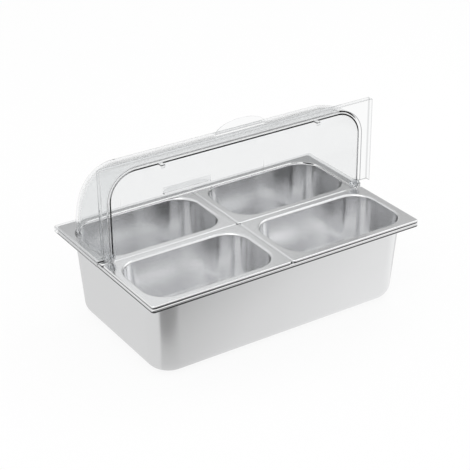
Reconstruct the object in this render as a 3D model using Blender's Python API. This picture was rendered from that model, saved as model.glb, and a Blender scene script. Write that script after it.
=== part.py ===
# Food display container: a deep outer pan, four quarter-size pans on a support bar,
# and a clear roll cover in two halves that turn about one axis.
# Metres, +Z up. The origin is the centre of the outer pan's underside, +X runs along
# the long side and +Y to the back. The front half of the cover stands rolled back.
import bmesh
import bpy
from math import acos, cos, pi, radians, sin, sqrt
from mathutils import Vector
from mathutils.geometry import tessellate_polygon

# Clearances
REST_GAP = 0.0003
CUT_OVERRUN = 0.0006

# Outer pan
RIM_LENGTH = 0.530
RIM_WIDTH = 0.325
RIM_CORNER = 0.006
RIM_LIP = 0.0072
RIM_EDGE_RADIUS = 0.0022
RIM_FLAT = 0.0128
OUTER_DEPTH = 0.150
OUTER_SHEET = 0.0010
OUTER_MOUTH_CORNER = 0.0415
OUTER_MOUTH_BEND = 0.0030
OUTER_FLOOR_RADIUS = 0.024
WALL_LEAN_SHARE = 0.06

# Quarter-size pans
PAN_DEPTH = 0.100
PAN_SHEET = 0.0008
PAN_RISE = 0.0050
PAN_BODY_CLEARANCE = 0.0007
PAN_OUTLINE_CORNER = 0.0050
PAN_EDGE_RADIUS = 0.0016
PAN_MOUTH_BEND = 0.0032
PAN_FLOOR_RADIUS = 0.020
PAN_SIDE_SPACING = 0.0030
PAN_ROW_SPACING = 0.0010

# Support bar
BAR_SHEET = 0.0012
BAR_WIDTH = 0.020
BAR_SKIRT = 0.0065
BAR_END_CLEARANCE = 0.0015

# Roll cover
PIVOT_RISE = 0.0100
COVER_WALL = 0.0028
COVER_END_MARGIN = 0.0050
COVER_SIDE_MARGIN = 0.0025
END_FLANGE_WIDTH = 0.0166
SIDE_FLANGE_WIDTH = 0.0127
FRONT_INNER_CORNER = 0.0510
NEST_GAP = 0.0019
END_WALL_GAP = 0.0012
REAR_OVERLAP = 0.0080
FLANGE_CORNER = 0.0050
LIP_THICKNESS = 0.0020
LIP_DEPTH = 0.0101
TAB_HALF_WIDTH = 0.0490
TAB_REACH = 0.0240
TAB_END = 0.0045

# Pivots
PIN_RADIUS = 0.0030
PIN_HEAD_RADIUS = 0.0065
PIN_HEAD_HEIGHT = 0.0024
WASHER_RADIUS = 0.0080
CAP_RADIUS = 0.0062
CAP_WALL = 0.0016
CAP_LENGTH = 0.0048

# Facet counts
PAN_CORNER_STEPS = 6
BEND_STEPS = 2
FLOOR_STEPS = 4
SWEEP_STEPS = 12
COVER_CORNER_STEPS = 6
FLANGE_CORNER_STEPS = 2
EAR_STEPS = 6
HOLE_STEPS = 14
TAB_STEPS = 12
TURNED_STEPS = 20
SMOOTH_DEGREES = 40.0
COVER_SMOOTH_DEGREES = 25.0

# Heights and places that follow
PAN_TOP = OUTER_DEPTH + PAN_RISE
PAN_LENGTH = RIM_LENGTH / 2 - REST_GAP - PAN_SIDE_SPACING / 2
PAN_WIDTH = RIM_WIDTH / 2 - REST_GAP - PAN_ROW_SPACING / 2
PAN_FLANGE = RIM_FLAT + PAN_BODY_CLEARANCE + PAN_SHEET - REST_GAP
PAN_MOUTH_CORNER = OUTER_MOUTH_CORNER - PAN_BODY_CLEARANCE - PAN_SHEET
PAN_X = (PAN_SIDE_SPACING + PAN_LENGTH) / 2
PAN_Y = (PAN_ROW_SPACING + PAN_WIDTH) / 2
PIVOT_Z = PAN_TOP + PIVOT_RISE
EAR_RADIUS = PIVOT_RISE - REST_GAP
FLANGE_TOP_DROP = EAR_RADIUS - COVER_WALL
FLANGE_FOOT = sqrt(EAR_RADIUS ** 2 - FLANGE_TOP_DROP ** 2) + REST_GAP
FRONT_OVERLAP = FLANGE_TOP_DROP - REST_GAP
FLANGE_HALF_LENGTH = RIM_LENGTH / 2 + COVER_END_MARGIN
FLANGE_REACH = RIM_WIDTH / 2 + COVER_SIDE_MARGIN
FRONT_INNER_HALF_LENGTH = FLANGE_HALF_LENGTH - END_FLANGE_WIDTH - COVER_WALL
FRONT_INNER_RADIUS = FLANGE_REACH - SIDE_FLANGE_WIDTH - COVER_WALL
REAR_INNER_RADIUS = FRONT_INNER_RADIUS - NEST_GAP - COVER_WALL
REAR_INNER_HALF_LENGTH = FRONT_INNER_HALF_LENGTH - END_WALL_GAP - COVER_WALL
REAR_INNER_CORNER = FRONT_INNER_CORNER - NEST_GAP - COVER_WALL
PIN_HOLE_RADIUS = PIN_RADIUS + REST_GAP


def clear_scene():
    for item in list(bpy.data.objects):
        bpy.data.objects.remove(item, do_unlink=True)


def material(name, colour, roughness, metallic, alpha=1.0):
    made = bpy.data.materials.new(name)
    made.use_nodes = True
    shader = made.node_tree.nodes["Principled BSDF"]
    shader.inputs["Base Color"].default_value = (*colour, 1.0)
    shader.inputs["Roughness"].default_value = roughness
    shader.inputs["Metallic"].default_value = metallic
    shader.inputs["Alpha"].default_value = alpha
    return made


def finish_object(name, bm, finish, smooth_degrees=SMOOTH_DEGREES):
    # Turns a bmesh into a named object with outward faces and smooth round stretches
    bmesh.ops.recalc_face_normals(bm, faces=bm.faces)
    mesh = bpy.data.meshes.new(name)
    bm.to_mesh(mesh)
    bm.free()
    mesh.shade_smooth()
    mesh.set_sharp_from_angle(angle=radians(smooth_degrees))
    mesh.materials.append(finish)
    made = bpy.data.objects.new(name, mesh)
    bpy.context.scene.collection.objects.link(made)
    return made


def fill_flat(bm, loops, normal_axis):
    # Fills a flat face with holes: the first loop is its outline, the others are holes
    across = [axis for axis in range(3) if axis != normal_axis]
    flat = [[Vector((v.co[across[0]], v.co[across[1]], 0.0)) for v in loop] for loop in loops]
    verts = [v for loop in loops for v in loop]
    for corners in tessellate_polygon(flat):
        bm.faces.new([verts[i] for i in corners])


def bridge(bm, first, second, closed=False):
    # Joins two rows of vertices of the same length with quads
    count = len(first)
    for i in range(count if closed else count - 1):
        j = (i + 1) % count
        bm.faces.new((first[i], first[j], second[j], second[i]))


def rounded_ring(half_x, half_y, corner, z, steps):
    # A rounded rectangle at height z, as points that run anticlockwise
    points = []
    centres = ((1, 1), (-1, 1), (-1, -1), (1, -1))
    for quarter, (side_x, side_y) in enumerate(centres):
        for k in range(steps + 1):
            turn = (quarter + k / steps) * pi / 2
            x = side_x * (half_x - corner) + corner * cos(turn)
            y = side_y * (half_y - corner) + corner * sin(turn)
            points.append((x, y, z))
    return points


# Pans


def pressed_pan(name, shape, finish):
    # A pan pressed from one sheet: each ring is a rounded rectangle, set in from the
    # outline and lowered from the flange's top. The rings run from the underside of the
    # floor up the outside, round the turned edge, and down the inside to the floor.
    sheet = shape["sheet"]
    flange = shape["flange"]
    lean = shape["lean"]
    depth = shape["depth"]
    floor_inner = shape["floor_radius"]
    floor_outer = floor_inner + sheet
    bend_outer = shape["bend"]
    bend_inner = bend_outer + sheet
    edge = shape["edge_radius"]
    wall_corner = shape["mouth_corner"]
    rows = []

    def add(inset, drop, corner):
        rows.append((inset, drop, corner))

    def wall_inset(drop):
        return flange + lean * drop

    for k in range(FLOOR_STEPS + 1):
        turn = (1 - k / FLOOR_STEPS) * pi / 2
        inward = floor_outer * (1 - cos(turn))
        drop = depth - floor_outer + floor_outer * sin(turn)
        add(wall_inset(depth - floor_outer) - sheet + inward, drop, wall_corner + sheet - inward)
    for k in range(BEND_STEPS + 1):
        turn = k / BEND_STEPS * pi / 2
        outward = bend_outer * (1 - cos(turn))
        drop = sheet + bend_outer * (1 - sin(turn))
        add(flange - sheet - outward, drop, wall_corner + sheet + outward)
    add(sheet, sheet, shape["outline_corner"] - sheet)
    add(sheet, shape["lip"], shape["outline_corner"] - sheet)
    add(0.0, shape["lip"], shape["outline_corner"])
    for k in range(BEND_STEPS + 1):
        turn = k / BEND_STEPS * pi / 2
        inward = edge * (1 - cos(turn))
        add(inward, edge * (1 - sin(turn)), shape["outline_corner"] - inward)
    for k in range(BEND_STEPS + 1):
        turn = k / BEND_STEPS * pi / 2
        outward = bend_inner * (1 - sin(turn))
        add(flange - outward, bend_inner * (1 - cos(turn)), wall_corner + outward)
    for k in range(FLOOR_STEPS + 1):
        turn = k / FLOOR_STEPS * pi / 2
        inward = floor_inner * (1 - cos(turn))
        drop = depth - sheet - floor_inner + floor_inner * sin(turn)
        add(wall_inset(depth - floor_outer) + inward, drop, wall_corner - inward)

    bm = bmesh.new()
    rings = []
    for inset, drop, corner in rows:
        half_x = shape["length"] / 2 - inset
        half_y = shape["width"] / 2 - inset
        points = rounded_ring(half_x, half_y, corner, shape["top"] - drop, PAN_CORNER_STEPS)
        rings.append([bm.verts.new(point) for point in points])
    for lower, upper in zip(rings, rings[1:]):
        bridge(bm, lower, upper, closed=True)
    bm.faces.new(rings[0])
    bm.faces.new(rings[-1])
    return finish_object(name, bm, finish)


def outer_pan(finish):
    shape = {
        "length": RIM_LENGTH, "width": RIM_WIDTH, "top": OUTER_DEPTH, "depth": OUTER_DEPTH,
        "sheet": OUTER_SHEET, "flange": RIM_FLAT, "lip": RIM_LIP, "edge_radius": RIM_EDGE_RADIUS,
        "outline_corner": RIM_CORNER, "mouth_corner": OUTER_MOUTH_CORNER, "bend": OUTER_MOUTH_BEND,
        "floor_radius": OUTER_FLOOR_RADIUS, "lean": WALL_LEAN_SHARE,
    }
    pressed_pan("outer_pan", shape, finish)


def quarter_pans(finish):
    shape = {
        "length": PAN_LENGTH, "width": PAN_WIDTH, "top": PAN_TOP, "depth": PAN_DEPTH,
        "sheet": PAN_SHEET, "flange": PAN_FLANGE, "lip": PAN_RISE - REST_GAP,
        "edge_radius": PAN_EDGE_RADIUS, "outline_corner": PAN_OUTLINE_CORNER,
        "mouth_corner": PAN_MOUTH_CORNER, "bend": PAN_MOUTH_BEND,
        "floor_radius": PAN_FLOOR_RADIUS, "lean": WALL_LEAN_SHARE,
    }
    for row, side_y in (("front", -1), ("back", 1)):
        for hand, side_x in (("left", -1), ("right", 1)):
            pan = pressed_pan(f"pan_{row}_{hand}", shape, finish)
            pan.location = (side_x * PAN_X, side_y * PAN_Y, 0.0)


# Support bar


def prism(name, outline, axis, half_length, finish):
    # Extrudes a flat outline both ways along the axis: 0 is X and 1 is Y
    bm = bmesh.new()
    rings = []
    for side in (-1, 1):
        ring = []
        for across, z in outline:
            spot = (side * half_length, across, z) if axis == 0 else (across, side * half_length, z)
            ring.append(bm.verts.new(spot))
        rings.append(ring)
    bridge(bm, rings[0], rings[1], closed=True)
    bm.faces.new(rings[0])
    bm.faces.new(rings[1])
    return finish_object(name, bm, finish)


def support_bar(finish):
    # A channel under the pans' inner edges, with a ridge between them whose ends lie on the rim
    top = OUTER_DEPTH
    under = top - BAR_SHEET
    skirt_end = top - BAR_SKIRT
    half = BAR_WIDTH / 2
    channel = [
        (-half, top), (-half, skirt_end), (-half + BAR_SHEET, skirt_end), (-half + BAR_SHEET, under),
        (half - BAR_SHEET, under), (half - BAR_SHEET, skirt_end), (half, skirt_end), (half, top),
    ]
    half_run = RIM_WIDTH / 2 - RIM_FLAT - BAR_END_CLEARANCE
    half_reach = RIM_WIDTH / 2 - REST_GAP
    foot = top + REST_GAP
    root = top - CUT_OVERRUN
    ridge = [
        (-half_reach, foot), (-half_run, foot), (-half_run, root), (half_run, root),
        (half_run, foot), (half_reach, foot), (half_reach, PAN_TOP), (-half_reach, PAN_TOP),
    ]
    bar = prism("support_bar", channel, 1, half_run, finish)
    fin = prism("ridge_to_join", ridge, 0, PAN_SIDE_SPACING / 2 - REST_GAP, finish)
    fin.hide_render = True
    fin.display_type = "WIRE"
    join = bar.modifiers.new("join_ridge", "BOOLEAN")
    join.operation = "UNION"
    join.solver = "EXACT"
    join.object = fin


# Roll cover


def arch_row(half_length, radius, corner):
    # Half of a rounded rectangle seen from the end wall: pairs of x and radius, left to right
    left = []
    for k in range(COVER_CORNER_STEPS + 1):
        turn = k / COVER_CORNER_STEPS * pi / 2
        x = half_length - corner + corner * cos(turn)
        left.append((-x, radius - corner + corner * sin(turn)))
    return left + [(-x, r) for x, r in reversed(left)]


def sweep_stations(overlap, low):
    # Places of a row on its way from the leading edge to the flange, as functions of the radius
    stations = [lambda r: (-overlap, r)]
    for k in range(SWEEP_STEPS + 1):
        turn = (1 - k / SWEEP_STEPS) * pi / 2
        stations.append(lambda r, turn=turn: (r * cos(turn), r * sin(turn)))
    stations.append(lambda r: (r, low))
    return stations


def flange_path(half_length, reach, corner):
    # The flange's edge in plan, from the left foot round to the right foot
    path = [(-half_length, FLANGE_FOOT)]
    for side in (-1, 1):
        arc = []
        for k in range(FLANGE_CORNER_STEPS + 1):
            turn = k / FLANGE_CORNER_STEPS * pi / 2
            x = half_length - corner + corner * cos(turn)
            arc.append((side * x, reach - corner + corner * sin(turn)))
        path += arc if side < 0 else arc[::-1]
    path.append((half_length, FLANGE_FOOT))
    return path


def tab_outline():
    # The grip tab's edge: short straight ends, then half an ellipse
    points = []
    for k in range(TAB_STEPS + 1):
        turn = (1 - k / TAB_STEPS) * pi
        x = TAB_HALF_WIDTH * cos(turn)
        points.append((x, FLANGE_REACH + TAB_END + (TAB_REACH - TAB_END) * sin(turn)))
    return points


def cover_half(name, half_length, radius, corner, overlap, finish):
    # One half of the roll cover, drawn closed over +Y with the pivot axis as its X axis:
    # a rounded arch swept a quarter turn, flat end walls with ears, a flange with a lip, a tab
    bm = bmesh.new()
    flange_under = -EAR_RADIUS
    flange_top = -FLANGE_TOP_DROP
    lip_end = flange_top - LIP_DEPTH
    wall_radius = radius - corner

    def vert(x, u, w):
        return bm.verts.new((x, u, w))

    # Swept skins, outer and inner
    skins = []
    for grow, low in ((COVER_WALL, flange_top), (0.0, flange_under)):
        arch = arch_row(half_length + grow, radius + grow, corner + grow)
        stations = sweep_stations(overlap, low)
        skins.append([[vert(x, *place(r)) for x, r in arch] for place in stations])
    for rows in skins:
        for first, second in zip(rows, rows[1:]):
            bridge(bm, first, second)
    outer, inner = skins

    # End walls with ears: from the flange's foot round the ear to the leading edge
    ear_end = acos(-overlap / EAR_RADIUS)
    walls = []
    for side in (0, -1):
        x_sign = -1 if side == 0 else 1
        pair = []
        for rows, grow, low in ((outer, COVER_WALL, flange_top), (inner, 0.0, flange_under)):
            x = x_sign * (half_length + grow)
            swept = [row[side] for row in rows]
            ear = []
            for k in range(EAR_STEPS + 1):
                turn = -pi / 2 - k / EAR_STEPS * (3 * pi / 2 - ear_end)
                ear.append(vert(x, EAR_RADIUS * cos(turn), EAR_RADIUS * sin(turn)))
            foot = vert(x, FLANGE_FOOT, flange_under)
            foot_top = vert(x, FLANGE_FOOT, flange_top) if grow else None
            hole = []
            for k in range(HOLE_STEPS):
                turn = k / HOLE_STEPS * 2 * pi
                hole.append(vert(x, PIN_HOLE_RADIUS * cos(turn), PIN_HOLE_RADIUS * sin(turn)))
            outline = swept + ([foot_top] if grow else []) + [foot] + ear
            fill_flat(bm, [outline, hole], 0)
            pair.append({"ear": ear, "foot": foot, "foot_top": foot_top, "hole": hole})
        bridge(bm, pair[0]["hole"], pair[1]["hole"], closed=True)
        bridge(bm, [pair[0]["foot"]] + pair[0]["ear"], [pair[1]["foot"]] + pair[1]["ear"])
        walls.append(pair)

    # Leading edge, from ear to ear
    edges = []
    for skin, rows in enumerate(skins):
        edges.append([walls[0][skin]["ear"][-1]] + rows[0] + [walls[1][skin]["ear"][-1]])
    bridge(bm, edges[0], edges[1])

    # Flange, lip and grip tab
    edge_path = flange_path(FLANGE_HALF_LENGTH, FLANGE_REACH, FLANGE_CORNER)
    inner_path = flange_path(
        FLANGE_HALF_LENGTH - LIP_THICKNESS, FLANGE_REACH - LIP_THICKNESS, FLANGE_CORNER - LIP_THICKNESS
    )
    half = len(edge_path) // 2
    edge_top = [vert(x, u, flange_top) for x, u in edge_path]
    edge_low = [vert(x, u, lip_end) for x, u in edge_path]
    lip_low = [vert(x, u, lip_end) for x, u in inner_path]
    lip_high = [vert(x, u, flange_under) for x, u in inner_path]
    tab_top = [vert(x, u, flange_top) for x, u in tab_outline()]
    tab_low = [vert(x, u, flange_under) for x, u in tab_outline()]
    root_top = [vert(side * TAB_HALF_WIDTH, FLANGE_REACH, flange_top) for side in (-1, 1)]
    root_low = [vert(side * TAB_HALF_WIDTH, FLANGE_REACH, flange_under) for side in (-1, 1)]
    root_end = [vert(side * TAB_HALF_WIDTH, FLANGE_REACH, lip_end) for side in (-1, 1)]
    tab_top = [root_top[0]] + tab_top + [root_top[1]]
    tab_low = [root_low[0]] + tab_low + [root_low[1]]
    left_wall, right_wall = walls[0], walls[1]
    top_inner = [left_wall[0]["foot_top"]] + outer[-1] + [right_wall[0]["foot_top"]]
    fill_flat(bm, [top_inner + edge_top[half:][::-1] + tab_top[::-1] + edge_top[:half][::-1]], 2)
    under_inner = [left_wall[0]["foot"], left_wall[1]["foot"]] + inner[-1]
    under_inner += [right_wall[1]["foot"], right_wall[0]["foot"]]
    fill_flat(bm, [under_inner + lip_high[::-1]], 2)
    bridge(bm, edge_top[:half], edge_low[:half])
    bridge(bm, edge_top[half:], edge_low[half:])
    bm.faces.new((edge_top[half - 1], root_top[0], root_low[0], root_end[0], edge_low[half - 1]))
    bm.faces.new((root_top[1], edge_top[half], edge_low[half], root_end[1], root_low[1]))
    bm.faces.new((root_low[0], root_low[1], root_end[1], root_end[0]))
    bridge(bm, tab_top, tab_low)
    fill_flat(bm, [tab_low], 2)
    bridge(bm, lip_low, lip_high)
    low_outer = edge_low[:half] + root_end + edge_low[half:]
    fill_flat(bm, [low_outer + lip_low[::-1]], 2)
    for end, wall in ((0, left_wall), (-1, right_wall)):
        cap = [wall[0]["foot_top"], edge_top[end], edge_low[end], lip_low[end], lip_high[end]]
        bm.faces.new(cap + [wall[0]["foot"]])
    made = finish_object(name, bm, finish, COVER_SMOOTH_DEGREES)
    made.location = (0.0, 0.0, PIVOT_Z)
    return made


def roll_cover(finish):
    cover_half(
        "cover_rear", REAR_INNER_HALF_LENGTH, REAR_INNER_RADIUS, REAR_INNER_CORNER, REAR_OVERLAP, finish
    )
    front = cover_half(
        "cover_front", FRONT_INNER_HALF_LENGTH, FRONT_INNER_RADIUS, FRONT_INNER_CORNER, FRONT_OVERLAP, finish
    )
    # Rolled back: the flange that closes over the front stands upright at the middle
    front.rotation_euler = (pi / 2, 0.0, pi)


# Pivots


def turned(name, profile, finish, side):
    # Revolves pairs of x and radius about the pivot axis. A radius of zero is a pole.
    bm = bmesh.new()
    rings = []
    for x, radius in profile:
        if radius == 0.0:
            rings.append([bm.verts.new((x, 0.0, 0.0))])
            continue
        ring = []
        for k in range(TURNED_STEPS):
            turn = k / TURNED_STEPS * 2 * pi
            ring.append(bm.verts.new((x, radius * cos(turn), radius * sin(turn))))
        rings.append(ring)
    pairs = list(zip(rings, rings[1:]))
    if profile[0][1] > 0.0:
        pairs.append((rings[-1], rings[0]))
    for first, second in pairs:
        if len(first) == len(second):
            bridge(bm, first, second, closed=True)
            continue
        pole, ring = (first[0], second) if len(first) == 1 else (second[0], first)
        for k in range(TURNED_STEPS):
            bm.faces.new((pole, ring[k], ring[(k + 1) % TURNED_STEPS]))
    made = finish_object(name, bm, finish)
    made.location = (0.0, 0.0, PIVOT_Z)
    made.rotation_euler = (0.0, 0.0, 0.0 if side > 0 else pi)


def pivots(finish):
    front_face = FRONT_INNER_HALF_LENGTH + COVER_WALL
    head_seat = front_face + REST_GAP
    head_end = head_seat + PIN_HEAD_HEIGHT
    cap_seat = REAR_INNER_HALF_LENGTH - REST_GAP
    cap_end = cap_seat - CAP_LENGTH
    bore_end = cap_end + CAP_WALL
    washer_low = REAR_INNER_HALF_LENGTH + COVER_WALL + REST_GAP
    washer_high = FRONT_INNER_HALF_LENGTH - REST_GAP
    head_slope = PIN_HEAD_HEIGHT / 2
    cap_slope = CAP_WALL / 2
    pin = [
        (bore_end + REST_GAP, 0.0), (bore_end + REST_GAP, PIN_RADIUS), (head_seat, PIN_RADIUS),
        (head_seat, PIN_HEAD_RADIUS), (head_seat + head_slope, PIN_HEAD_RADIUS),
        (head_end, PIN_HEAD_RADIUS - head_slope), (head_end, 0.0),
    ]
    cap = [
        (bore_end, 0.0), (bore_end, PIN_HOLE_RADIUS), (cap_seat, PIN_HOLE_RADIUS), (cap_seat, CAP_RADIUS),
        (cap_end + cap_slope, CAP_RADIUS), (cap_end, CAP_RADIUS - cap_slope), (cap_end, 0.0),
    ]
    washer = [
        (washer_low, PIN_HOLE_RADIUS), (washer_low, WASHER_RADIUS),
        (washer_high, WASHER_RADIUS), (washer_high, PIN_HOLE_RADIUS),
    ]
    for hand, side in (("left", -1), ("right", 1)):
        turned(f"pivot_pin_{hand}", pin, finish, side)
        turned(f"pivot_washer_{hand}", washer, finish, side)
        turned(f"pivot_cap_{hand}", cap, finish, side)


clear_scene()
pan_steel = material("pan_steel", (0.78, 0.78, 0.79), 0.30, 1.0)
inner_steel = material("inner_steel", (0.80, 0.80, 0.81), 0.22, 1.0)
clear_plastic = material("clear_plastic", (0.90, 0.92, 0.93), 0.06, 0.0, 0.30)
pivot_plastic = material("pivot_plastic", (0.84, 0.86, 0.88), 0.12, 0.0, 0.55)
outer_pan(pan_steel)
quarter_pans(inner_steel)
support_bar(inner_steel)
roll_cover(clear_plastic)
pivots(pivot_plastic)
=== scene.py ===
# Looks of the food display container: pressed steel pans under a clear roll cover.
# Every new piece is a numpy surface in metres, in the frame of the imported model.
import bmesh
import bpy
import numpy as np
from mathutils import Matrix


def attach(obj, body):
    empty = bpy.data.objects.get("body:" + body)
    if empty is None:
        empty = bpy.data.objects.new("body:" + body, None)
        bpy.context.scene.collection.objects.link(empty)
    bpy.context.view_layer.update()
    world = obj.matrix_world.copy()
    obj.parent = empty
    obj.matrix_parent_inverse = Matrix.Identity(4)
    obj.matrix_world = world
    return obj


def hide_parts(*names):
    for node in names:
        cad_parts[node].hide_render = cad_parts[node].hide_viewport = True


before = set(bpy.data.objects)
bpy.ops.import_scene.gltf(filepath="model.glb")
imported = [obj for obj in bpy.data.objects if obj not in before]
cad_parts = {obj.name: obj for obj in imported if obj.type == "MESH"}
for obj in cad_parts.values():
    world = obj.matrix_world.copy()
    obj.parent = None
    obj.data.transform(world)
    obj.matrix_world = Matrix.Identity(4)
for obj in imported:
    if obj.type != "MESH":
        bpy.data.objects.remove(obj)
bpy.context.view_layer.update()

mm = 0.001
halfTurn = np.pi
quarterTurn = np.pi / 2
pivotHeight = 165.0 * mm


def arc(start, end, steps):
    # Angles from start to end, both included
    return np.linspace(start, end, steps + 1)


def stackRow(cells):
    # Values of one or more rows side by side, where a single value counts for all the rows
    return np.stack(np.broadcast_arrays(*np.atleast_1d(*cells)), axis=-1)


def gridFaces(rows, columns, closeRows=False, closeColumns=False):
    # Quads of a grid: corner (i, j) joins (i, j+1), (i+1, j+1) and (i+1, j). A closed direction
    # goes on from its last line to its first.
    i = np.arange(rows if closeRows else rows - 1)[:, None]
    j = np.arange(columns if closeColumns else columns - 1)[None, :]
    iNext = (i + 1) % rows
    jNext = (j + 1) % columns
    corners = [i * columns + j, i * columns + jNext, iNext * columns + jNext, iNext * columns + j]
    return np.stack(corners, axis=-1).reshape(-1, 4)


def shellBody(points):
    # Rings of a closed shell, from one pole to the other: a pole is the middle of its end ring
    rows, columns = points.shape[:2]
    quads = gridFaces(rows, columns, closeColumns=True)
    poles = np.stack([points[0].mean(axis=0), points[-1].mean(axis=0)])
    j = np.arange(columns)
    jNext = (j + 1) % columns
    first = rows * columns
    startFan = np.stack([np.full(columns, first), jNext, j], axis=-1)
    last = (rows - 1) * columns
    endFan = np.stack([np.full(columns, first + 1), last + j, last + jNext], axis=-1)
    verts = np.vstack([points.reshape(-1, 3), poles])
    return verts, quads.tolist() + startFan.tolist() + endFan.tolist()


def loopBody(points):
    # A closed loop of rows carried over columns. Row i faces row n-1-i, which closes the two ends.
    rows, columns = points.shape[:2]
    quads = gridFaces(rows, columns, closeRows=True)
    i = np.arange(rows // 2 - 1)
    ends = []
    for j in (0, columns - 1):
        across = [i, i + 1, rows - 2 - i, rows - 1 - i]
        ends += (np.stack(across, axis=-1) * columns + j).tolist()
    return points.reshape(-1, 3), quads.tolist() + ends


def joinBodies(bodies):
    # Several bodies as one list of vertices and faces: each one's indices move past the last one's
    verts = []
    faces = []
    for bodyVerts, bodyFaces in bodies:
        shift = sum(len(v) for v in verts)
        verts.append(bodyVerts)
        faces += [[index + shift for index in face] for face in bodyFaces]
    return np.vstack(verts), faces


def linkObject(name, data):
    # An object with the given data, in the scene's own collection
    item = bpy.data.objects.new(name, data)
    bpy.context.scene.collection.objects.link(item)
    return item


def smoothMesh(mesh, sharpDegrees):
    # Smooth shading, except over edges where the faces turn by more than the given angle
    mesh.shade_smooth()
    mesh.set_sharp_from_angle(angle=np.radians(sharpDegrees))


def makePiece(name, body, materials, sharpDegrees=35.0):
    # Vertices and faces as an object at the origin, with outward faces and smooth round stretches
    verts, faces = body
    mesh = bpy.data.meshes.new(name)
    mesh.from_pydata(verts.tolist(), [], faces)
    tidy = bmesh.new()
    tidy.from_mesh(mesh)
    bmesh.ops.recalc_face_normals(tidy, faces=tidy.faces)
    tidy.to_mesh(mesh)
    tidy.free()
    for material in materials:
        mesh.materials.append(material)
    smoothMesh(mesh, sharpDegrees)
    return linkObject(name, mesh)


def unitePiece(piece, extras, sharpDegrees):
    # Unites a closed piece with closed bodies that cross it, and keeps the outcome as its mesh
    other = makePiece(piece.name + "Extras", extras, list(piece.data.materials))
    union = piece.modifiers.new("union", "BOOLEAN")
    union.operation = "UNION"
    union.solver = "EXACT"
    union.object = other
    depsgraph = bpy.context.evaluated_depsgraph_get()
    baked = bpy.data.meshes.new_from_object(piece.evaluated_get(depsgraph))
    piece.modifiers.clear()
    piece.data = baked
    baked.name = piece.name
    bpy.data.objects.remove(other, do_unlink=True)
    smoothMesh(baked, sharpDegrees)


def setFinishes(piece, finishes, restFinish):
    # Each face's material slot by its finish. Faces past the listed ones take the rest's finish.
    index = np.full(len(piece.data.polygons), restFinish, dtype=np.int32)
    index[:len(finishes)] = finishes
    piece.data.polygons.foreach_set("material_index", index)


def evenNormals(piece):
    # Weighted Normal keeps large flat faces flat beside their small rounded edges
    even = piece.modifiers.new("evenNormals", "WEIGHTED_NORMAL")
    even.keep_sharp = True
    even.weight = 60


def newMaterial(name):
    # A new node material, with its nodes and links
    material = bpy.data.materials.new(name)
    material.use_nodes = True
    return material, material.node_tree.nodes, material.node_tree.links


def feed(links, value, socket):
    # Links a node's output into the socket, or sets a plain value on it
    if isinstance(value, bpy.types.NodeSocket):
        links.new(value, socket)
    else:
        socket.default_value = value


def noiseNode(nodes, links, vector, scale, detail):
    # Noise over the given coordinates
    noise = nodes.new("ShaderNodeTexNoise")
    noise.inputs["Scale"].default_value = scale
    noise.inputs["Detail"].default_value = detail
    links.new(vector, noise.inputs["Vector"])
    return noise.outputs["Fac"]


def rangeNode(nodes, links, value, source, target=(0.0, 1.0), interpolation="LINEAR"):
    # Carries a value from one range to another
    span = nodes.new("ShaderNodeMapRange")
    span.interpolation_type = interpolation
    for name, level in zip(("From Min", "From Max", "To Min", "To Max"), (*source, *target)):
        span.inputs[name].default_value = level
    links.new(value, span.inputs["Value"])
    return span.outputs["Result"]


def mathNode(nodes, links, operation, first, second):
    # One step of arithmetic with two values
    step = nodes.new("ShaderNodeMath")
    step.operation = operation
    feed(links, first, step.inputs[0])
    feed(links, second, step.inputs[1])
    return step.outputs[0]


def mixNode(nodes, links, kind, factor, first, second):
    # Blends two numbers or two colours by a factor
    firstSocket, secondSocket, outcome = {"FLOAT": (2, 3, 0), "RGBA": (6, 7, 2)}[kind]
    mix = nodes.new("ShaderNodeMix")
    mix.data_type = kind
    feed(links, factor, mix.inputs[0])
    feed(links, first, mix.inputs[firstSocket])
    feed(links, second, mix.inputs[secondSocket])
    return mix.outputs[outcome]


def addBump(nodes, links, height, depth, rise, shader):
    # A faint bump on the shader, from a height pattern
    bump = nodes.new("ShaderNodeBump")
    bump.inputs["Strength"].default_value = depth
    bump.inputs["Distance"].default_value = rise
    links.new(height, bump.inputs["Height"])
    links.new(bump.outputs["Normal"], shader.inputs["Normal"])


# Steel: each kind's colour, roughness range and brush lines, then the patterns that all share
steel = {
    "pan": {"colour": (0.830, 0.833, 0.838), "roughness": (0.19, 0.24), "lines": (4.0, 4.0, 620.0)},
    "inner": {"colour": (0.830, 0.833, 0.840), "roughness": (0.18, 0.23),
              "lines": (4.0, 4.0, 620.0)},
    # The edge steel is polished (lower roughness), and its lighter colour is a painted highlight on
    # the turned edges
    "edge": {"colour": (0.880, 0.884, 0.890), "roughness": (0.12, 0.17),
             "lines": (60.0, 60.0, 60.0)},
    # The shade band steel is near black: painted shade for the dark line under each lip
    "shadeBand": {"colour": (0.050, 0.050, 0.052), "roughness": (0.40, 0.55),
            "lines": (90.0, 90.0, 90.0)},
    "lineDetail": 3.0, "brushDepth": 0.012, "brushHeight": 0.00010,
    "smudgeScale": 9.0, "smudgeDetail": 2.0, "smudgeShare": 0.6, "smudgeTones": (0.975, 1.02),
    "noiseSpan": (0.3, 0.7),
}


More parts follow.
